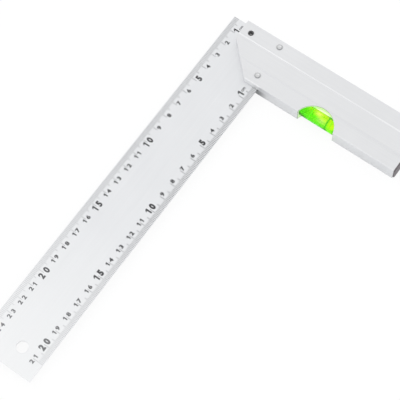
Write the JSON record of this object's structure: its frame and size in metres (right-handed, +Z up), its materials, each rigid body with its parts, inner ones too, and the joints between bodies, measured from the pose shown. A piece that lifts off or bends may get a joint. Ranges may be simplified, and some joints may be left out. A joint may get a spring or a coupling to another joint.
{
  "type": "try square with spirit level",
  "caption": "Try square with a scaled steel blade, a mitred hollow aluminium handle and a green level vial in a round notch.",
  "frame": {"origin": "centre of the outline's underside", "axes": "+X along the blade towards its free end, +Y along the handle towards its plug, +Z up from the face it rests on"},
  "size_m": [0.2554, 0.1376, 0.0118],
  "materials": {
    "blade_steel": "fine brushed, satin",
    "handle_aluminium": "silver anodised, matt",
    "packer_aluminium": "as cut",
    "rivet_steel": "pressed and faced",
    "screw_black": "black oxide",
    "vial_green": "clear acrylic, polished",
    "liquid_green": "clear tinted liquid",
    "ring_dark": "dark line",
    "plug_dark": "moulded, fine texture"
  },
  "bodies": {
    "root": {"blade": "blade_steel", "handle": "handle_aluminium", "upper_packer": "packer_aluminium", "lower_packer": "packer_aluminium", "outer_rivet": "rivet_steel", "inner_rivet": "rivet_steel", "set_screw": "screw_black", "vial_tube": "vial_green", "vial_liquid": "liquid_green", "vial_stopper": "vial_green", "vial_ring_near": "ring_dark", "vial_ring_far": "ring_dark", "end_plug": "plug_dark"}
  },
  "joints": []
}
